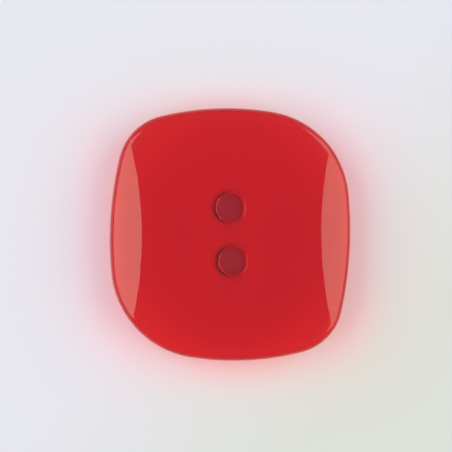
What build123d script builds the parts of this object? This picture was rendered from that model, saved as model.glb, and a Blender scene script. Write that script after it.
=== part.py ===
from build123d import *
import math
import os

# A two-hole sewing button of clear red cast resin, in millimetres.
# The blank is a soft cushion with two tight and two round corners. Its face is
# a shallow dome, and a flat facet is ground along each long side.
# The flat back lies on Z = 0 with the origin at its centre, +Z leaves the face,
# and the facets run along Y, one on each side of X = 0.

# Outline of the blank, which sits slightly turned under the facets
button_length = 23.0
button_width = 22.0
side_arc_radius = 32.6
end_arc_radius = 25.7
tight_corner_radius = 5.0
round_corner_radius = 8.5
outline_turn = -1.5

# Face
thickness = 4.5
dome_radius = 86.5
facet_width = 2.83
facet_tilt = 27.0

# Softened edges
edge_rounding = 0.8
back_rounding = 0.35

# Thread holes, whose line stands slightly turned between the facets
hole_diameter = 2.5
hole_spacing = 4.85
hole_turn = 2.4
hole_face_rounding = 0.15
hole_back_chamfer = 0.2

# Places worked out from the sizes above
side_arc_centre = side_arc_radius - button_width / 2
end_arc_centre = end_arc_radius - button_length / 2
dome_centre = thickness - dome_radius
crease_distance = button_width / 2 - facet_width
crease_height = dome_centre + math.sqrt(dome_radius**2 - crease_distance**2)
tilt = math.radians(facet_tilt)


def stands_upright(face):
    """True for a face that runs straight up, such as the side of the blank."""
    return abs(face.normal_at().Z) < 1e-6


with BuildPart() as button:
    # The cushion is what four large circles have in common, with its corners rounded in pairs
    with BuildSketch(Plane.XY.rotated((0, 0, outline_turn))) as outline:
        with Locations((side_arc_centre, 0)):
            Circle(side_arc_radius)
        with Locations((-side_arc_centre, 0)):
            Circle(side_arc_radius, mode=Mode.INTERSECT)
        with Locations((0, end_arc_centre)):
            Circle(end_arc_radius, mode=Mode.INTERSECT)
        with Locations((0, -end_arc_centre)):
            Circle(end_arc_radius, mode=Mode.INTERSECT)
        tight_corners = outline.vertices().filter_by(lambda corner: corner.X * corner.Y < 0)
        fillet(tight_corners, radius=tight_corner_radius)
        round_corners = outline.vertices().filter_by(lambda corner: corner.X * corner.Y > 0)
        fillet(round_corners, radius=round_corner_radius)
    extrude(amount=thickness)

    # The face is domed by a sphere that is laid over, so that its poles and seam miss the face
    with Locations((0, 0, dome_centre)):
        Sphere(dome_radius, rotation=(90, 0, 0), mode=Mode.INTERSECT)

    # A flat facet is ground down and outwards along each side
    for side in (-1, 1):
        facet = Plane(
            origin=(side * crease_distance, 0, crease_height),
            x_dir=(0, 1, 0),
            z_dir=(side * math.sin(tilt), 0, math.cos(tilt)),
        )
        split(bisect_by=facet, keep=Keep.BOTTOM)

    # Tumbling rounds the two creases and the rim alike, and the edge of the back a little less
    dome = button.faces().filter_by(GeomType.SPHERE)[0]
    creases = dome.edges().sort_by_distance((0, 0, crease_height))[:2]
    walls = button.faces().filter_by(stands_upright)
    rim = walls.edges().filter_by(GeomType.LINE, reverse=True).filter_by(lambda edge: edge.center().Z > 0)
    fillet(creases + rim, radius=edge_rounding)
    back = button.faces().sort_by(Axis.Z)[0]
    fillet(back.edges(), radius=back_rounding)

    # The thread holes are drilled through, rounded where the thread bends and bevelled at the back
    with PolarLocations(hole_spacing / 2, 2, start_angle=90 + hole_turn):
        Hole(hole_diameter / 2)
    hole_edges = button.edges(Select.LAST).group_by(Axis.Z)
    fillet(hole_edges[-1], radius=hole_face_rounding)
    chamfer(hole_edges[0], length=hole_back_chamfer)

button.part.label = "button"
os.makedirs("parts", exist_ok=True)
export_step(button.part, "parts/button.step")
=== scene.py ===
# %% [markdown]
# A sewing button of clear red resin, lit and photographed from almost straight above.
# The imported CAD model comes first, because it fixes where the button lies and how large it is.
# Its box is kept.

# %% Load the frame
import math

import bpy
import numpy as np
from mathutils import Matrix, Vector


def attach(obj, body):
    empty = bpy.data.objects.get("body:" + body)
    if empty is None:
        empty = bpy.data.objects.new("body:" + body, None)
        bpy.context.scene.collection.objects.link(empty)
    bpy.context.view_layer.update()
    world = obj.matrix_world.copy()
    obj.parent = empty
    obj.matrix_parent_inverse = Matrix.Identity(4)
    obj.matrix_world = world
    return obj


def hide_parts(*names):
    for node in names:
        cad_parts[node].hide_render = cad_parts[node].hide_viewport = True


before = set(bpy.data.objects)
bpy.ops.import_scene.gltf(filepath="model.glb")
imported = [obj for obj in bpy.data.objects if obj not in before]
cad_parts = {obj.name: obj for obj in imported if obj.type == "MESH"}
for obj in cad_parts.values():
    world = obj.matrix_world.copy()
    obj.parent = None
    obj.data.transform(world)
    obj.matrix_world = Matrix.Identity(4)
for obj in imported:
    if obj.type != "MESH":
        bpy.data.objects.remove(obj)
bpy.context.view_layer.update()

MM = 0.001


# %% [markdown]
# The sizes below are the button's own, in millimetres, because that is how a button maker thinks.
# Blender works in metres, so every finished point is multiplied by MM, which stands for one
# millimetre, once and at the very end.

# %% Sizes of the button
LENGTH = 23.0
WIDTH = 22.0
SIDE_ARC_RADIUS = 32.6
END_ARC_RADIUS = 25.7
TIGHT_CORNER_RADIUS = 5.0
ROUND_CORNER_RADIUS = 8.5
OUTLINE_TURN = math.radians(-1.5)

THICKNESS = 4.5
DOME_RADIUS = 86.5
FACET_WIDTH = 2.83
FACET_TILT = math.radians(27.0)

EDGE_ROUNDING = 0.8
BACK_ROUNDING = 0.35

HOLE_RADIUS = 1.25
HOLE_SPACING = 4.85
HOLE_TURN = math.radians(2.4)
HOLE_FACE_ROUNDING = 0.15
HOLE_BACK_ROUNDING = 0.2
HOLE_PLACE = HOLE_SPACING / 2 * np.array([-math.sin(HOLE_TURN), math.cos(HOLE_TURN)])

print("The upper thread hole stands at", HOLE_PLACE.round(3), "and the lower one opposite")

# %% [markdown]
# Seen from above, the button is a cushion: four long arcs, two sides and two ends, meet in two tight
# and two round corners. Such an outline could be traced with a curve, but then neither its radii nor
# its inset would be exact. Here it is a chain of eight arcs that run smoothly into each other. This
# cell works out their centres, and the direction in which each of them takes over from the last.

# %% Chain of tangent arcs
def corner_centre(radius, side_x, end_y):
    """Centre of a corner arc that touches a side arc and an end arc from inside.

    It lies where two circles cross: one about the side arc's centre with the side radius less the
    corner's, and one about the end arc's centre with the end radius less the corner's.
    """
    side, end = np.array([side_x, 0.0]), np.array([0.0, end_y])
    reach_side, reach_end = SIDE_ARC_RADIUS - radius, END_ARC_RADIUS - radius
    gap = np.linalg.norm(end - side)
    along = (gap**2 + reach_side**2 - reach_end**2) / (2 * gap)
    across = math.sqrt(reach_side**2 - along**2)
    line = (end - side) / gap
    square = np.array([-line[1], line[0]])
    options = [side + along * line + sign * across * square for sign in (-1, 1)]
    return max(options, key=lambda centre: centre[0] * -side_x + centre[1] * -end_y)


def arc_chain():
    """Centres, radii and starting directions of the eight arcs, in the order the normal meets them.

    An arc begins where it touches the one before it, and there the two centres and the point lie on
    one line. So the starting direction is the direction from the larger arc's centre to the smaller's.
    """
    side_x, end_y = SIDE_ARC_RADIUS - WIDTH / 2, END_ARC_RADIUS - LENGTH / 2
    right, top = np.array([-side_x, 0.0]), np.array([0.0, -end_y])
    upper_right = corner_centre(ROUND_CORNER_RADIUS, -side_x, -end_y)
    upper_left = corner_centre(TIGHT_CORNER_RADIUS, side_x, -end_y)
    centres = np.array([right, upper_right, top, upper_left])
    radii = [SIDE_ARC_RADIUS, ROUND_CORNER_RADIUS, END_ARC_RADIUS, TIGHT_CORNER_RADIUS]
    joints = [-upper_left - right, upper_right - right, upper_right - top, upper_left - top]
    starts = np.array([math.atan2(y, x) for x, y in joints])
    turn = np.array([[math.cos(OUTLINE_TURN), math.sin(OUTLINE_TURN)],
                     [-math.sin(OUTLINE_TURN), math.cos(OUTLINE_TURN)]])
    centres = np.vstack([centres, -centres]) @ turn
    starts = np.concatenate([starts, starts + math.pi]) + OUTLINE_TURN
    return centres, np.tile(radii, 2), starts


ARC_CENTRES, ARC_RADII, ARC_STARTS = arc_chain()
print("Arcs start at", np.degrees(ARC_STARTS).round(1), "degrees, radii", ARC_RADII)

# %% [markdown]
# Along such a chain the outward normal turns steadily through a full circle, so the direction of the
# normal can serve as the parameter: each direction belongs to one arc, and the point is that arc's
# centre plus its radius in that direction. An inset outline has the same centres and shorter radii.

# %% Points of the outline
FINE_STEPS = 4001


def arc_of(direction):
    """Which arc a direction of the normal belongs to."""
    turned = np.mod(direction - ARC_STARTS[0], 2 * math.pi) + ARC_STARTS[0]
    return np.searchsorted(ARC_STARTS, turned, side="right") - 1


def outward(direction):
    """Level unit vectors in the given directions."""
    return np.stack([np.cos(direction), np.sin(direction), np.zeros_like(direction)], -1)


def outline(direction, inset=0.0):
    """Points of the outline, moved in by inset: the arc's centre plus its shortened radius."""
    arc = arc_of(direction)
    reach = (ARC_RADII[arc] - inset)[:, None]
    return ARC_CENTRES[arc] + reach * outward(direction)[:, :2]


def spread(start, end, count):
    """Directions from start to end whose points are evenly spaced along the outline."""
    fine = np.linspace(start, end, FINE_STEPS)
    walked = np.concatenate([[0.0], np.cumsum(ARC_RADII[arc_of((fine[1:] + fine[:-1]) / 2)])])
    return np.interp(np.linspace(0, walked[-1], count), walked, fine)


whole_outline = outline(np.linspace(-math.pi, math.pi, FINE_STEPS))
print("The outline is", np.ptp(whole_outline, axis=0).round(3), "mm wide and long")

# %% [markdown]
# The face of the blank is a shallow dome, with a flat facet ground down along each side. Both are
# heights over the plan, which numpy works out for a whole grid at once. Moved in by an inset, the
# dome keeps its centre and has a shorter radius, and the facet keeps its tilt and lies lower.

# %% Dome and facets
DOME_CENTRE = np.array([0.0, 0.0, THICKNESS - DOME_RADIUS])
CREASE_X = WIDTH / 2 - FACET_WIDTH
CREASE_Z = DOME_CENTRE[2] + math.sqrt(DOME_RADIUS**2 - CREASE_X**2)


def facet_normal(side):
    """The facet's outward normal, tilted from straight up towards its side."""
    return np.array([side * math.sin(FACET_TILT), 0.0, math.cos(FACET_TILT)])


def dome_height(plan, inset=0.0):
    """Height of the dome over plan points, or of the ball centres an inset below its skin."""
    reach = DOME_RADIUS - inset
    return DOME_CENTRE[2] + np.sqrt(reach**2 - (plan**2).sum(-1))


def facet_height(plan, inset=0.0):
    """Height of the nearer facet's plane over plan points, or of the ball centres below it."""
    run = np.abs(plan[..., 0]) - CREASE_X
    return CREASE_Z - (run * math.sin(FACET_TILT) + inset) / math.cos(FACET_TILT)


def dome_normal(points):
    """Directions from the dome's centre."""
    away = points - DOME_CENTRE
    return away / np.linalg.norm(away, axis=-1, keepdims=True)


print("The creases lie", round(CREASE_X, 2), "mm from the middle, at a height of", round(CREASE_Z, 2), "mm")

# %% [markdown]
# Then the button is tumbled with grit, which rounds its edges as if a small ball had rolled along each
# of them from inside. A bevel modifier could imitate that on a coarse mesh, but its corners would show
# in the reflections. The picture of the ball gives exact surfaces instead: where its centre can go is
# the blank shrunk by the ball's radius, and the skin is the centre plus the radius in the direction in
# which the ball touches. The functions below give the paths of the ball's centre along the creases and
# along the rim. Where the two paths meet, a facet ends in a tip, which is found by halving.

# %% Paths of the rolling ball
HALVINGS = 60
SEARCH_REACH = 0.5


def crease_centres(y, side):
    """Ball centres along a crease: the circle in which the shrunk sphere meets the lowered facet."""
    normal = facet_normal(side)
    start = np.array([side * CREASE_X, 0.0, CREASE_Z]) - DOME_CENTRE
    depth = start @ normal - EDGE_ROUNDING
    radius = math.sqrt((DOME_RADIUS - EDGE_ROUNDING) ** 2 - depth**2)
    uphill = np.array([-side * math.cos(FACET_TILT), 0.0, math.sin(FACET_TILT)])
    rise = np.sqrt(radius**2 - y**2)[:, None]
    return DOME_CENTRE + depth * normal + rise * uphill + y[:, None] * np.array([0.0, 1.0, 0.0])


def rim_centres(direction):
    """Ball centres along the rim: an inset from the side, and under whichever face is lower."""
    plan = outline(direction, EDGE_ROUNDING)
    height = np.minimum(dome_height(plan, EDGE_ROUNDING), facet_height(plan, EDGE_ROUNDING))
    return np.column_stack([plan, height])


def crossing(start, end, gap):
    """The direction between start and end at which gap changes its sign, by halving the interval."""
    sign = gap(np.array([start]))[0] > 0
    for _ in range(HALVINGS):
        middle = (start + end) / 2
        if (gap(np.array([middle]))[0] > 0) == sign:
            start = middle
        else:
            end = middle
    return (start + end) / 2


def dome_over_facet(direction):
    """How far the dome's ball centre lies above the facet's, on the rim."""
    plan = outline(direction, EDGE_ROUNDING)
    return dome_height(plan, EDGE_ROUNDING) - facet_height(plan, EDGE_ROUNDING)


def rim_y(direction):
    """The Y of the rim's ball centre, which is zero at the middle of each side."""
    return outline(direction, EDGE_ROUNDING)[:, 1]


MIDDLE = crossing(-SEARCH_REACH, SEARCH_REACH, rim_y)
RIGHT_TIP = crossing(MIDDLE, math.pi / 2, dome_over_facet)
LEFT_TIP = crossing(MIDDLE + math.pi, math.pi / 2, dome_over_facet)
TIP_ANGLES = np.degrees([MIDDLE, RIGHT_TIP, LEFT_TIP]).round(2)
print("The middle of the right side and the facets' upper tips lie at", TIP_ANGLES, "degrees")

# %% [markdown]
# The skin is cut into patches, and each patch is a grid of rows and columns with its exact normals.
# Half of them are enough: the button looks the same after half a turn, so the other half is the same
# grids turned. Patches that meet share the points of their common border, which lets them be welded
# into one closed mesh later. This cell holds the counts and the three ways to fill a grid: straight
# rows between two lines, a rolled edge, and a part of the dome.

# %% Ways to fill a patch
ALONG_FACET = 70
ALONG_END = 120
ALONG_CUT = 96
ACROSS_FACE = 26
ACROSS_FACET = 12
AROUND_EDGE = 14
AROUND_CREASE = 8
DOWN_WALL = 6
CROWDING = 1.2


def between(first, last, count, power=1.0):
    """Rows from one line of points to another; a power over 1 crowds them towards the first."""
    share = (np.linspace(0, 1, count) ** power)[:, None, None]
    return first + share * (last - first)


def swing(first, last, count):
    """Unit vectors that turn evenly from first to last.

    Each is a sum of the two, weighted by the sines of the angles still to go and already turned,
    over the sine of the whole angle.
    """
    cosine = np.clip((first * last).sum(-1, keepdims=True), -1, 1)
    angle = np.arccos(cosine)
    share = np.linspace(0, 1, count)[:, None, None]
    return (np.sin((1 - share) * angle) * first + np.sin(share * angle) * last) / np.sin(angle)


def rolled(centres, first, last, radius, count):
    """A rounded edge: each centre plus the radius in directions that turn from first to last."""
    normals = swing(np.broadcast_to(first, centres.shape), np.broadcast_to(last, centres.shape), count)
    return centres + radius * normals, normals


def level(points, normal):
    """A patch whose normals all point the same way."""
    return points, np.broadcast_to(np.asarray(normal, float), points.shape)


def on_dome(plan):
    """A patch of the dome over a grid of plan points."""
    points = np.concatenate([plan, dome_height(plan)[..., None]], -1)
    return points, dome_normal(points)


# %% [markdown]
# The half outline is walked once, from the middle of the right side over the top to the middle of the
# left side, and every patch that touches the rim uses these same directions. The facets stop where
# crease and rim meet, at a tip on each side, and between the tips the rim borders the dome.

# %% Walk along half the rim
RIGHT = spread(MIDDLE, RIGHT_TIP, ALONG_FACET)
TOP = spread(RIGHT_TIP, LEFT_TIP, ALONG_END)
LEFT = spread(LEFT_TIP, MIDDLE + math.pi, ALONG_FACET)
RING = np.concatenate([RIGHT[:-1], TOP, LEFT[1:]])
RIGHT_CREASE = crease_centres(np.linspace(0, rim_centres(RIGHT[-1:])[0, 1], ALONG_FACET), 1)
LEFT_CREASE = crease_centres(np.linspace(rim_centres(LEFT[:1])[0, 1], 0, ALONG_FACET), -1)
print("Half the rim has", len(RING), "points, and a facet is",
      round(float(2 * RIGHT_CREASE[-1, 1]), 1), "mm long between its tips")

# %% [markdown]
# A facet is a flat window that catches the light of the lamp beside it, so its borders decide how
# crisp the button looks. It could be cut out of the dome with a boolean, which leaves ragged rows
# along the crease. Here it is a grid of straight rows from its crease to its rim, with the crease
# rolled over towards the dome, the rim rolled over towards the side, and a small piece of a ball at
# the tip, where the two rolled edges run into one.

# %% Facets
def facet_patches(side, crease, direction, tip):
    """Half of one facet, its rounded crease, its rounded rim, and the piece of a ball at its tip.

    The tip is a slice that picks the last point, or the first, of both the crease and the rim.
    """
    rim = rim_centres(direction)
    normal = facet_normal(side)
    flat = between(crease + EDGE_ROUNDING * normal, rim + EDGE_ROUNDING * normal, ACROSS_FACET)
    ring = swing(dome_normal(crease[tip]), normal[None], AROUND_CREASE)[:, 0]
    ball = np.repeat(crease[tip], AROUND_CREASE, 0)
    return [
        level(flat, normal),
        rolled(crease, dome_normal(crease), normal, EDGE_ROUNDING, AROUND_CREASE),
        rolled(rim, normal, outward(direction), EDGE_ROUNDING, AROUND_EDGE),
        rolled(ball, ring, outward(direction[tip]), EDGE_ROUNDING, AROUND_EDGE),
    ]


patches = facet_patches(1, RIGHT_CREASE, RIGHT, slice(-1, None))
patches += facet_patches(-1, LEFT_CREASE, LEFT, slice(0, 1))
print("Facet patches:", len(patches))

# %% [markdown]
# Between the facets lies the dome, with one thread hole in this half. A hole could be cut with a
# boolean too, but clear resin shows every stray edge, so the dome's grid grows out of the hole: its
# rows run from the ring of the hole out to the border of the half, crowded towards the hole. The
# border is the two creases, the end of the rim and the straight cut between the holes.

# %% Dome and end of the rim
end = rim_centres(TOP)
patches.append(rolled(end, dome_normal(end), outward(TOP), EDGE_ROUNDING, AROUND_EDGE))


def close_border(line):
    """A line of plan points, closed by a straight cut from its end back to its start."""
    return np.vstack([line, np.linspace(line[-1], line[0], ALONG_CUT)[1:]])


border = np.vstack([RIGHT_CREASE[:-1], end, LEFT_CREASE[1:]])
border = close_border((border + EDGE_ROUNDING * dome_normal(border))[:, :2])
spoke_x, spoke_y = (border - HOLE_PLACE).T
SPOKES = np.arctan2(spoke_y, spoke_x)


def around_hole(widening):
    """Plan points around the hole, one on each spoke, at the hole's radius plus a widening."""
    return HOLE_PLACE + (HOLE_RADIUS + widening) * outward(SPOKES)[:, :2]


mouth = around_hole(HOLE_FACE_ROUNDING)
mouth = np.column_stack([mouth, dome_height(mouth, HOLE_FACE_ROUNDING)])
lip = (mouth + HOLE_FACE_ROUNDING * dome_normal(mouth))[:, :2]
patches.append(on_dome(between(lip, border, ACROSS_FACE, CROWDING)))
print("Spokes around the hole:", len(SPOKES))

# %% [markdown]
# A thread hole is drilled straight through. Its mouth is rounded so that it doesn't fray the thread,
# and its foot a little as well. All of it hangs on the same spokes as the dome: a rolled lip, a
# straight wall and a rolled foot.

# %% Thread hole
DOWN = np.array([0.0, 0.0, -1.0])
inward = -outward(SPOKES)
patches.append(rolled(mouth, dome_normal(mouth), inward, HOLE_FACE_ROUNDING, AROUND_EDGE))

wall_top = np.column_stack([around_hole(0.0), mouth[:, 2]])
wall_foot = np.column_stack([around_hole(0.0), np.full(len(SPOKES), HOLE_BACK_ROUNDING)])
wall = between(wall_top, wall_foot, DOWN_WALL)
patches.append((wall, np.broadcast_to(inward, wall.shape)))

foot_plan = around_hole(HOLE_BACK_ROUNDING)
foot = np.column_stack([foot_plan, np.full(len(SPOKES), HOLE_BACK_ROUNDING)])
patches.append(rolled(foot, inward, DOWN, HOLE_BACK_ROUNDING, AROUND_CREASE))
print("The hole is", round(float(wall_top[:, 2].max()), 2), "mm deep to its lip")

# %% [markdown]
# The side of the button stands upright, and the back is flat, so that the button lies still on cloth
# or paper. The heel between them is rounded less than the rim, because the tumbling grit reaches it
# less. Side and back hang on the same ring of directions as the rim.

# %% Side and back
side_top = np.column_stack([outline(RING), rim_centres(RING)[:, 2]])
side_foot = np.column_stack([outline(RING), np.full(len(RING), BACK_ROUNDING)])
side = between(side_top, side_foot, DOWN_WALL)
patches.append((side, np.broadcast_to(outward(RING), side.shape)))

heel = np.column_stack([outline(RING, BACK_ROUNDING), np.full(len(RING), BACK_ROUNDING)])
patches.append(rolled(heel, outward(RING), DOWN, BACK_ROUNDING, AROUND_EDGE))

back = between(foot_plan, close_border(heel[:, :2]), ACROSS_FACE, CROWDING)
patches.append(level(np.concatenate([back, np.zeros_like(back[..., :1])], -1), DOWN))
print("Patches in half the button:", len(patches))

# %% [markdown]
# Welding turns the patches into one mesh. Points that coincide become one vertex, which also closes
# the poles where a whole side of a patch shrinks to a point: a face that loses one corner there
# becomes a triangle, and one that loses two vanishes.

# %% Weld the patches
WELD_DIGITS = 4


def grid_faces(points, normals, first):
    """Four corners of every cell of a grid, in the order that makes the face point outwards.

    The cross product of a cell's two diagonals points to the side from which its corners run
    anticlockwise. Where it disagrees with the normals over the whole grid, the order is reversed.
    """
    rows, columns = points.shape[:2]
    index = first + np.arange(rows * columns).reshape(rows, columns)
    cells = np.stack([index[:-1, :-1], index[1:, :-1], index[1:, 1:], index[:-1, 1:]], -1)
    diagonal = points[1:, 1:] - points[:-1, :-1]
    other = points[:-1, 1:] - points[1:, :-1]
    agree = (np.cross(diagonal, other) * normals[:-1, :-1]).sum()
    cells = cells.reshape(-1, 4)
    return cells if agree > 0 else cells[:, ::-1]


def weld(patches):
    """Vertices, normals, quads and triangles of all patches, with coinciding points made one."""
    faces, count = [], 0
    for points, normals in patches:
        faces.append(grid_faces(points, normals, count))
        count += points.shape[0] * points.shape[1]
    points = np.concatenate([points.reshape(-1, 3) for points, _ in patches])
    normals = np.concatenate([normals.reshape(-1, 3) for _, normals in patches])
    rounded = np.round(points, WELD_DIGITS)
    _, first, new = np.unique(rounded, axis=0, return_index=True, return_inverse=True)
    cells = new.reshape(-1)[np.concatenate(faces)]
    same = cells == np.roll(cells, -1, axis=1)
    quads = cells[same.sum(1) == 0]
    short = same.sum(1) == 1
    kept = ~same[short]
    triangles = cells[short][kept].reshape(-1, 3)
    return points[first], normals[first], quads, triangles


# %% [markdown]
# The welded points go into one mesh object. Smooth shading alone would guess each normal from the
# faces around it, so every vertex is given its exact normal instead, and reflections and refractions
# run smoothly over the skin. A closed body with two through holes has an Euler characteristic of minus
# two: vertices less edges plus faces. That is a quick test that nothing stayed open.

# %% Mesh object
def make_mesh(name, patches):
    """One closed mesh object from patches in millimetres, smooth, with its exact normals."""
    points, normals, quads, triangles = weld(patches)
    mesh = bpy.data.meshes.new(name)
    mesh.from_pydata(points * MM, [], quads.tolist() + triangles.tolist())
    mesh.shade_smooth()
    mesh.normals_split_custom_set_from_vertices(normals)
    piece = bpy.data.objects.new(name, mesh)
    bpy.context.scene.collection.objects.link(piece)
    characteristic = len(mesh.vertices) - len(mesh.edges) + len(mesh.polygons)
    print(name, "has", len(mesh.vertices), "vertices,", len(quads), "quads and", len(triangles),
          "triangles, and Euler characteristic", characteristic)
    return piece


# %% [markdown]
# The second half is the first one turned by half a turn, which only changes the signs of X and Y. The
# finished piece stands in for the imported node, moves with the one body there is, and fills the slot
# for the resin.

# %% The whole button
HALF_TURN = np.array([-1.0, -1.0, 1.0])
turned_patches = [(points * HALF_TURN, normals * HALF_TURN) for points, normals in patches]
polished_button = make_mesh("polished_button", patches + turned_patches)
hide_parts("button")
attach(polished_button, "root")

# %% [markdown]
# The button is cast from clear resin with a red dye stirred in, and tumbled until it shines. Light
# bends as it enters, as in glass, and loses green and blue on its way through the dye. So a thick part
# looks deep red, a thin edge paler, and the paper under the button shows through. A red glossy paint
# would have the colour, but neither the depth nor the glow around the button. The surface is
# therefore a clear transmission with the refractive index of polyester, and the dye is a volume
# absorption: each colour fades by a factor of e along one over its figure, in metres.
# The rolled rim is given a grey colour that lets a little less light through than the polished face:
# painted shade that darkens the button's outline. It sets in where the skin leans by more than about
# 30 degrees, and the lips of the thread holes are left free of it.

# %% Resin: surface and dye
RESIN_IOR = 1.52
RESIN_ROUGHNESS = 0.03
ABSORB_PER_METRE = np.array([80.0, 640.0, 700.0])
CLEAR = (1.0, 1.0, 1.0)
# Painted shade: a grey that dims the light through the leaning rim, so the outline looks dark.
RIM_SHADE_COLOUR = (0.72, 0.72, 0.72)
RIM_SHADE_START, RIM_SHADE_FULL = 0.87, 0.7
RIM_SHADE_FREE_REACH = 1.0


def half_path(absorb):
    """Length in millimetres over which a colour fades to half: the logarithm of 2 over its figure."""
    return math.log(2) / absorb / MM


print("Red, green and blue fade to half over", half_path(ABSORB_PER_METRE).round(1), "mm of resin")

# %% [markdown]
# Much of a clear button's charm is the light that has gone through it: it lands on the paper as a
# pink glow, and it lights the paper under the button so that the resin shines from inside. Cycles
# could find those paths by chance, but a pixel needs thousands of rays for them, and lamps seen
# through glass leave bright grains. So the rays that only gather light, the shadow rays and the
# diffuse rays, meet a clear tinted skin that lets them straight through, and only the rays that the
# camera follows meet real glass. The dye works on both.
# Straight rays miss one thing: curved glass gathers light in some places and thins it in others. The
# tints make up for that, and a tint over 1 stands for gathered light. The face is a weak lens and
# gathers light, the more so near the rim, which the back's edge tint adds. The upright side spreads
# light, except at the lower end of the button, towards -Y, where the glow is strongest. A drilled wall
# swallows most of what enters the hole from inside the resin, which is why holes look like dark discs,
# and close around it the back lies in a soft shade. Reaches and starts are in millimetres.

# %% Resin: tints for soft light
FACE_TINT = (1.76, 1.15, 1.15)
FACE_FOOT = 2.6
BACK_TINT = (1.06, 0.85, 0.87)
EDGE_TINT = (1.2, 0.74, 0.8)
EDGE_START, EDGE_FULL = 9.0, 12.0
EDGE_STRETCH = (1.2, 1.0, 0.0)
SIDE_TINT = (0.9, 0.86, 0.87)
LOWER_END_TINT = (1.25, 0.78, 0.7)
LOWER_END_START, LOWER_END_FULL = -5.0, -11.0
WALL_TINT = (1.0, 0.4, 0.25)
HOLE_TINT = (0.35, 0.018, 0.01)
WALL_REACH = 0.2
SHADE_TINT = (0.0, 0.0, 0.0)
SHADE_REACH = 0.8
SHADE_DEPTH = 0.3
FRESH_DEPTH = 0.5

print("Face and back together tint a straight ray by", np.multiply(FACE_TINT, BACK_TINT).round(2))

# %% [markdown]
# A node tree made in code gets long, because every node needs a line for its kind, one for each value
# and one for each wire. A few helpers keep it readable. The first sets or wires one socket. Each of
# the others makes one node and returns its output, so that they can be nested like functions.

# %% Node helpers
def wire(tree, value, socket):
    """Set a socket to a number or a colour, or wire it to another node's output."""
    if isinstance(value, bpy.types.NodeSocket):
        tree.links.new(value, socket)
    elif isinstance(value, tuple):
        socket.default_value = (*value, 1.0)
    else:
        socket.default_value = value


def math_node(tree, operation, *values):
    """A Math node on one, two or three values."""
    node = tree.nodes.new("ShaderNodeMath")
    node.operation = operation
    for socket, value in zip(node.inputs, values):
        wire(tree, value, socket)
    return node.outputs["Value"]


def mix_node(tree, factor, first, second):
    """A Mix node that goes from the first colour to the second as the factor goes from 0 to 1."""
    node = tree.nodes.new("ShaderNodeMix")
    node.data_type = "RGBA"
    for name, value in (("Factor", factor), ("A", first), ("B", second)):
        wire(tree, value, node.inputs[name])
    return node.outputs["Result"]


def ramp_node(tree, value, start, end, first=0.0, last=1.0):
    """A smooth step from first to last while the value goes from start to end: 3 t^2 - 2 t^3."""
    node = tree.nodes.new("ShaderNodeMapRange")
    node.interpolation_type = "SMOOTHSTEP"
    for name, number in (("Value", value), ("From Min", start), ("From Max", end),
                         ("To Min", first), ("To Max", last)):
        wire(tree, number, node.inputs[name])
    return node.outputs["Result"]


def vector_node(tree, operation, output, first, second=None):
    """A Vector Math node on a wire and, where it needs one, a fixed vector."""
    node = tree.nodes.new("ShaderNodeVectorMath")
    node.operation = operation
    tree.links.new(first, node.inputs[0])
    if second is not None:
        node.inputs[1].default_value = second
    return node.outputs[output]


def apart(tree, vector):
    """The X, Y and Z of a vector as three outputs."""
    node = tree.nodes.new("ShaderNodeSeparateXYZ")
    tree.links.new(vector, node.inputs["Vector"])
    return node.outputs["X"], node.outputs["Y"], node.outputs["Z"]


# %% [markdown]
# The tints need to know where on the button a ray crosses the skin. Object coordinates give that in
# metres from the button's own origin. The button looks the same after half a turn, so one distance
# serves both holes: a point below the middle is first turned above it by changing its signs.

# %% Distance from the holes, and the rim's painted shade
def distance_from_hole(tree, x, y):
    """Distance from the axis of the nearer hole, by the theorem of Pythagoras."""
    hole_x, hole_y = (HOLE_PLACE * MM).tolist()
    beside = math_node(tree, "SUBTRACT", math_node(tree, "MULTIPLY", x, math_node(tree, "SIGN", y)), hole_x)
    above = math_node(tree, "SUBTRACT", math_node(tree, "ABSOLUTE", y), hole_y)
    squares = math_node(tree, "ADD", math_node(tree, "POWER", beside, 2.0),
                        math_node(tree, "POWER", above, 2.0))
    return math_node(tree, "SQRT", squares)


def painted_rim_shade(tree, normal, from_hole):
    """The surface's colour: clear, with painted shade dimming it where the skin leans far, except at the
    holes.
    """
    _, _, upright = apart(tree, normal)
    leaning = ramp_node(tree, upright, RIM_SHADE_START, RIM_SHADE_FULL)
    by_hole = math_node(tree, "LESS_THAN", from_hole, (HOLE_RADIUS + RIM_SHADE_FREE_REACH) * MM)
    shaded_rim = math_node(tree, "MULTIPLY", leaning, math_node(tree, "SUBTRACT", 1.0, by_hole))
    return mix_node(tree, shaded_rim, CLEAR, RIM_SHADE_COLOUR)


# %% [markdown]
# The skin's tint is put together from below. The back comes first, with its shade around the holes and
# its tint near the edge. Then comes the upright side with its lower end, and the face on top of that,
# each chosen by height. The drilled walls are told apart by their distance from the hole's axis. There
# a ray that has crossed nothing yet has started on the paper inside the hole, and it gets the dark
# tint. Light Path counts crossings in whole numbers, so a depth under a half means none.

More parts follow.
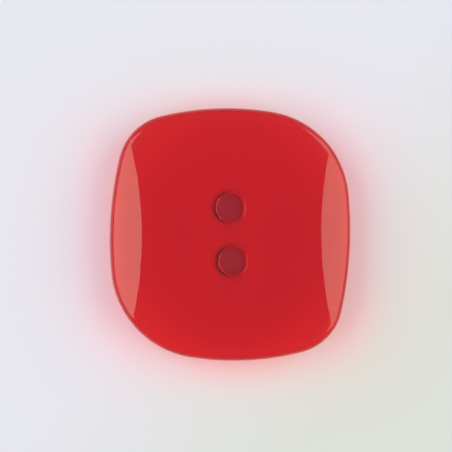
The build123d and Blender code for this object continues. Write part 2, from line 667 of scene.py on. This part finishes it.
# %% Tint of one crossing
def soft_tint(tree, path, place, from_hole):
    """The tint of one crossing of the skin, by its place and by what the ray has crossed before."""
    _, y, z = apart(tree, place)
    stretched = vector_node(tree, "MULTIPLY", "Vector", place, EDGE_STRETCH)
    by_edge = ramp_node(tree, vector_node(tree, "LENGTH", "Value", stretched),
                        EDGE_START * MM, EDGE_FULL * MM)
    shade = ramp_node(tree, from_hole, HOLE_RADIUS * MM, (HOLE_RADIUS + SHADE_REACH) * MM,
                      SHADE_DEPTH, 0.0)
    back_tint = mix_node(tree, shade, mix_node(tree, by_edge, BACK_TINT, EDGE_TINT), SHADE_TINT)

    by_end = ramp_node(tree, y, LOWER_END_START * MM, LOWER_END_FULL * MM)
    side_tint = mix_node(tree, by_end, SIDE_TINT, LOWER_END_TINT)
    low_tint = mix_node(tree, math_node(tree, "GREATER_THAN", z, BACK_ROUNDING * MM), back_tint, side_tint)
    skin_tint = mix_node(tree, math_node(tree, "GREATER_THAN", z, FACE_FOOT * MM), low_tint, FACE_TINT)

    fresh_ray = math_node(tree, "LESS_THAN", path.outputs["Transparent Depth"], FRESH_DEPTH)
    wall_tint = mix_node(tree, fresh_ray, WALL_TINT, HOLE_TINT)
    drilled = math_node(tree, "LESS_THAN", from_hole, (HOLE_RADIUS + WALL_REACH) * MM)
    return mix_node(tree, drilled, skin_tint, wall_tint)


# %% [markdown]
# Now the parts come together. The Mix Shader at the end asks what kind of ray has arrived: a ray that
# gathers light gets the tinted clear skin, and every other ray gets the glass. Blender's Volume
# Absorption takes its density times one less its colour, so the density is the largest of the three
# figures, and the colour follows from the others.

# %% Resin
def resin_material():
    """Clear resin with a red dye in it."""
    material = bpy.data.materials.new("red_resin")
    material.use_nodes = True
    tree = material.node_tree
    glass, output = tree.nodes["Principled BSDF"], tree.nodes["Material Output"]
    position = tree.nodes.new("ShaderNodeTexCoord")
    x, y, _ = apart(tree, position.outputs["Object"])
    from_hole = distance_from_hole(tree, x, y)
    glass.inputs["Transmission Weight"].default_value = 1.0
    glass.inputs["IOR"].default_value = RESIN_IOR
    glass.inputs["Roughness"].default_value = RESIN_ROUGHNESS
    # The base colour carries the painted shade on the rim.
    wire(tree, painted_rim_shade(tree, position.outputs["Normal"], from_hole), glass.inputs["Base Color"])

    path = tree.nodes.new("ShaderNodeLightPath")
    soft_ray = math_node(tree, "MAXIMUM", path.outputs["Is Shadow Ray"], path.outputs["Is Diffuse Ray"])
    clear = tree.nodes.new("ShaderNodeBsdfTransparent")
    wire(tree, soft_tint(tree, path, position.outputs["Object"], from_hole), clear.inputs["Color"])
    mix = tree.nodes.new("ShaderNodeMixShader")
    for value, socket in zip((soft_ray, glass.outputs["BSDF"], clear.outputs["BSDF"]), mix.inputs):
        wire(tree, value, socket)
    wire(tree, mix.outputs["Shader"], output.inputs["Surface"])

    dye = tree.nodes.new("ShaderNodeVolumeAbsorption")
    density = float(ABSORB_PER_METRE.max())
    dye.inputs["Color"].default_value = (*(1 - ABSORB_PER_METRE / density), 1.0)
    dye.inputs["Density"].default_value = density
    wire(tree, dye.outputs["Volume"], output.inputs["Volume"])
    return material


polished_button.data.materials.append(resin_material())
print("Resin has", len(polished_button.data.materials[0].node_tree.nodes), "nodes")

# %% [markdown]
# The button lies on a sheet of white paper. A plain large square is enough, matt and without texture,
# because the grain of paper is too fine to show from here. It lies a hair below the button, since two
# surfaces in the same place flicker. Towards the lower right its colour runs darker and warmer along
# the diagonal: painted warm shade, where the light on the paper is dimmer and redder.

# %% Paper
PAPER_COLOUR = (0.785, 0.785, 0.81)
# Painted shade: the darker, warmer paper colour towards the lower right.
WARM_SHADE_COLOUR = (0.715, 0.745, 0.66)
WARM_SHADE_REACH = 26.0
TO_LOWER_RIGHT = (1.0, -1.0, 0.0)
PAPER_GAP = 0.02
PAPER_SIZE = 1200.0


def paper_sheet():
    """A square sheet of white paper under the button."""
    corners = np.array([[-1, -1], [1, -1], [1, 1], [-1, 1]]) * PAPER_SIZE / 2
    corners = np.column_stack([corners, np.full(len(corners), -PAPER_GAP)]) * MM
    mesh = bpy.data.meshes.new("paper")
    mesh.from_pydata(corners.tolist(), [], [(0, 1, 2, 3)])
    sheet = bpy.data.objects.new("paper", mesh)
    bpy.context.scene.collection.objects.link(sheet)
    return sheet


def paper_material():
    """Matt white with painted warm shade along the diagonal: the point's place along it over the reach."""
    material = bpy.data.materials.new("white_paper")
    material.use_nodes = True
    tree = material.node_tree
    place = tree.nodes.new("ShaderNodeTexCoord").outputs["Object"]
    along = vector_node(tree, "DOT_PRODUCT", "Value", place, TO_LOWER_RIGHT)
    warm_shade = tree.nodes.new("ShaderNodeMapRange")
    wire(tree, along, warm_shade.inputs["Value"])
    wire(tree, WARM_SHADE_REACH * MM, warm_shade.inputs["From Max"])
    surface = tree.nodes["Principled BSDF"]
    colour = mix_node(tree, warm_shade.outputs["Result"], PAPER_COLOUR, WARM_SHADE_COLOUR)
    wire(tree, colour, surface.inputs["Base Color"])
    surface.inputs["Roughness"].default_value = 1.0
    surface.inputs["Specular IOR Level"].default_value = 0.0
    return material


paper = paper_sheet()
paper.data.materials.append(paper_material())
print("Paper is", round(paper.dimensions.x, 2), "m wide and lies", PAPER_GAP, "mm below the button")

# %% [markdown]
# Both facets shine at once, though they lean opposite ways, so there is a large lamp on either side.
# A facet leans by 27 degrees and throws a ray from straight above out at twice that angle, 54 degrees
# from the zenith, and the lamps stand close to that. They are soft boxes, large and near, so that a
# whole facet reflects one even field and no sharp shadow falls on the paper. The left one is a
# little brighter, and the right one a little warmer. A dim bluish room fills the rest, and it is the
# room that the dome reflects, which gives the red face its slight coolness. Lamps are large things, so
# their sizes are in metres.

# %% Lamps and room
ROOM_STRENGTH = 0.4
ROOM_COLOUR = (0.86, 0.94, 1.34)
LAMP_WIDTH, LAMP_HEIGHT = 0.38, 0.74
LAMP_DISTANCE = 0.5
LAMP_FROM_ZENITH = 56.0

world = bpy.data.worlds.new("room")
bpy.context.scene.world = world
world.use_nodes = True
background = world.node_tree.nodes["Background"]
wire(world.node_tree, ROOM_COLOUR, background.inputs["Color"])
wire(world.node_tree, ROOM_STRENGTH, background.inputs["Strength"])


def soft_box(name, azimuth, radiance, colour):
    """A rectangular lamp that faces the button from an azimuth in degrees.

    It shines with a radiance, as a surface does, so its power is the radiance times pi times its area.
    """
    lamp = bpy.data.lights.new(name, "AREA")
    lamp.shape = "RECTANGLE"
    lamp.size, lamp.size_y = LAMP_WIDTH, LAMP_HEIGHT
    lamp.energy = radiance * math.pi * LAMP_WIDTH * LAMP_HEIGHT
    lamp.color = colour
    holder = bpy.data.objects.new(name, lamp)
    turn, lean = math.radians(azimuth), math.radians(LAMP_FROM_ZENITH)
    towards = (math.sin(lean) * math.cos(turn), math.sin(lean) * math.sin(turn), math.cos(lean))
    holder.location = [LAMP_DISTANCE * part for part in towards]
    holder.rotation_euler = (0.0, lean, turn)
    bpy.context.scene.collection.objects.link(holder)
    print(name, "has a power of", round(lamp.energy, 2), "watts")


soft_box("left_soft_box", azimuth=174.0, radiance=2.6, colour=(1.0, 0.975, 0.81))
soft_box("right_soft_box", azimuth=6.0, radiance=2.25, colour=(1.0, 0.955, 0.77))

# %% [markdown]
# The camera looks down on the button from a little to the left of straight above: the holes and the
# creases lie slightly to the right of where they would be seen from the zenith. It stands far enough
# away that hardly anything of the upright sides shows. The lens follows from similar triangles: the
# lens is to the sensor as the distance is to the width of the picture on the button. The camera is
# aimed so that the middle of the button, a little above its back, lands on its own pixel, which isn't
# quite the middle of the picture.

# %% Camera
PIXELS = 452
PIXEL_MM = 0.09145
CAMERA_DISTANCE = 300.0
CAMERA_LEAN = math.radians(4.2)
CAMERA_ROLL = math.radians(0.25)
CENTRE_PIXEL = (230.3, 234.4)
AIM_HEIGHT = 1.9
CLIP_START = 10.0

camera_data = bpy.data.cameras.new("camera")
camera_data.sensor_fit = "HORIZONTAL"
camera_data.lens = camera_data.sensor_width * CAMERA_DISTANCE / (PIXELS * PIXEL_MM)
camera_data.clip_start = CLIP_START * MM
camera = bpy.data.objects.new("camera", camera_data)
bpy.context.scene.collection.objects.link(camera)
bpy.context.scene.camera = camera

look = Matrix.Rotation(-CAMERA_ROLL, 3, "Z") @ Matrix.Rotation(-CAMERA_LEAN, 3, "Y")
rightwards, upwards, backwards = (look.col[i] for i in range(3))
aim = Vector((0, 0, AIM_HEIGHT))
aim -= rightwards * (CENTRE_PIXEL[0] - PIXELS / 2) * PIXEL_MM
aim += upwards * (CENTRE_PIXEL[1] - PIXELS / 2) * PIXEL_MM
camera.matrix_world = Matrix.Translation((aim + backwards * CAMERA_DISTANCE) * MM) @ look.to_4x4()
print("Lens", round(camera_data.lens, 1), "mm")

bpy.context.scene.view_settings.view_transform = "Standard"
